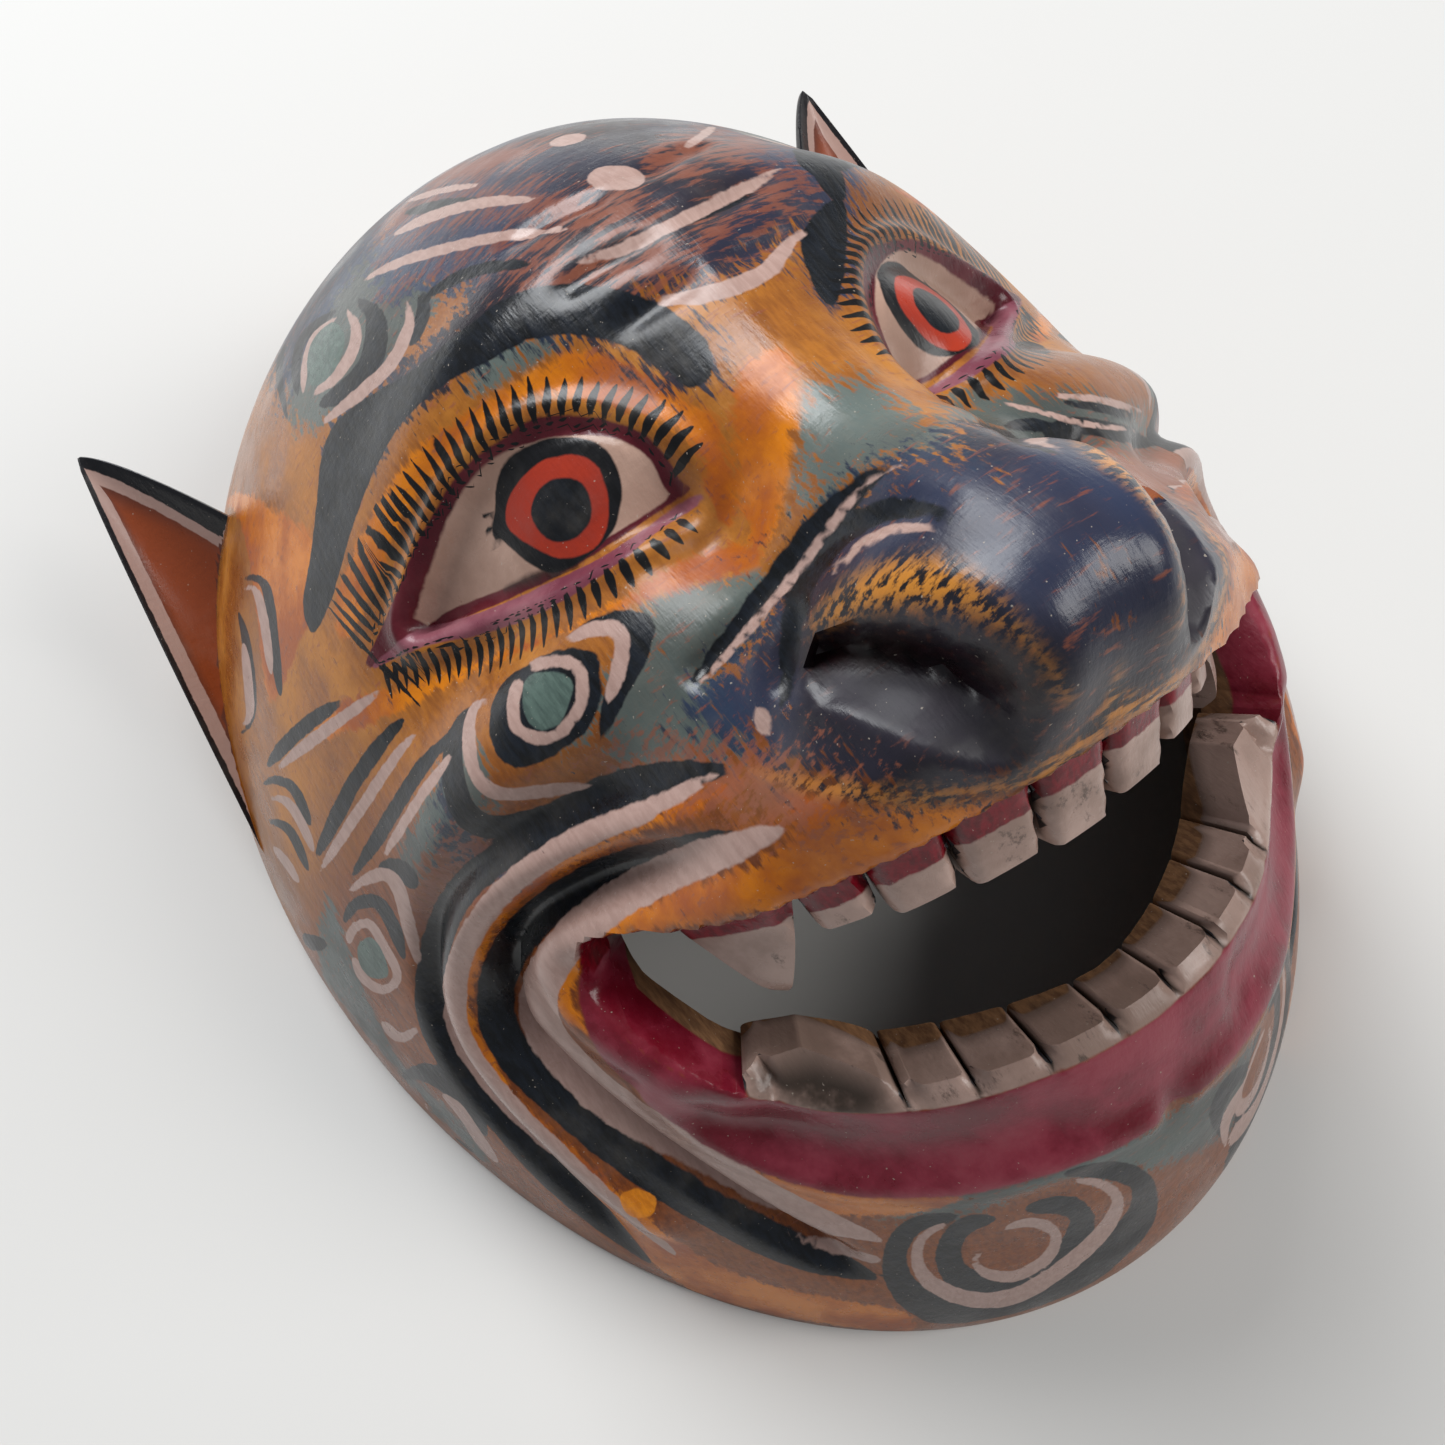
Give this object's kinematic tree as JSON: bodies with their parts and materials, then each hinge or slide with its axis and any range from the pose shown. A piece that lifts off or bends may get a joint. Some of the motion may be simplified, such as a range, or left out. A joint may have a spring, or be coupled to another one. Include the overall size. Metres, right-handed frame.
{
  "type": "carved feline mask",
  "caption": "Carved and painted wooden mask of a roaring feline, hollow behind and open at the mouth, with pointed ears, bared teeth and fangs.",
  "frame": {"origin": "middle of the flat back rim, at the level that the mask lies on", "axes": "+Z out of the face, +Y from chin to crown, +X across the face, to the right of someone who looks at the mask"},
  "size_m": [0.179, 0.24, 0.1324],
  "materials": {
    "painted_wood": "varnished paint over carved wood, worn and dusty"
  },
  "bodies": {
    "root": {"mask": "painted_wood"}
  },
  "joints": []
}
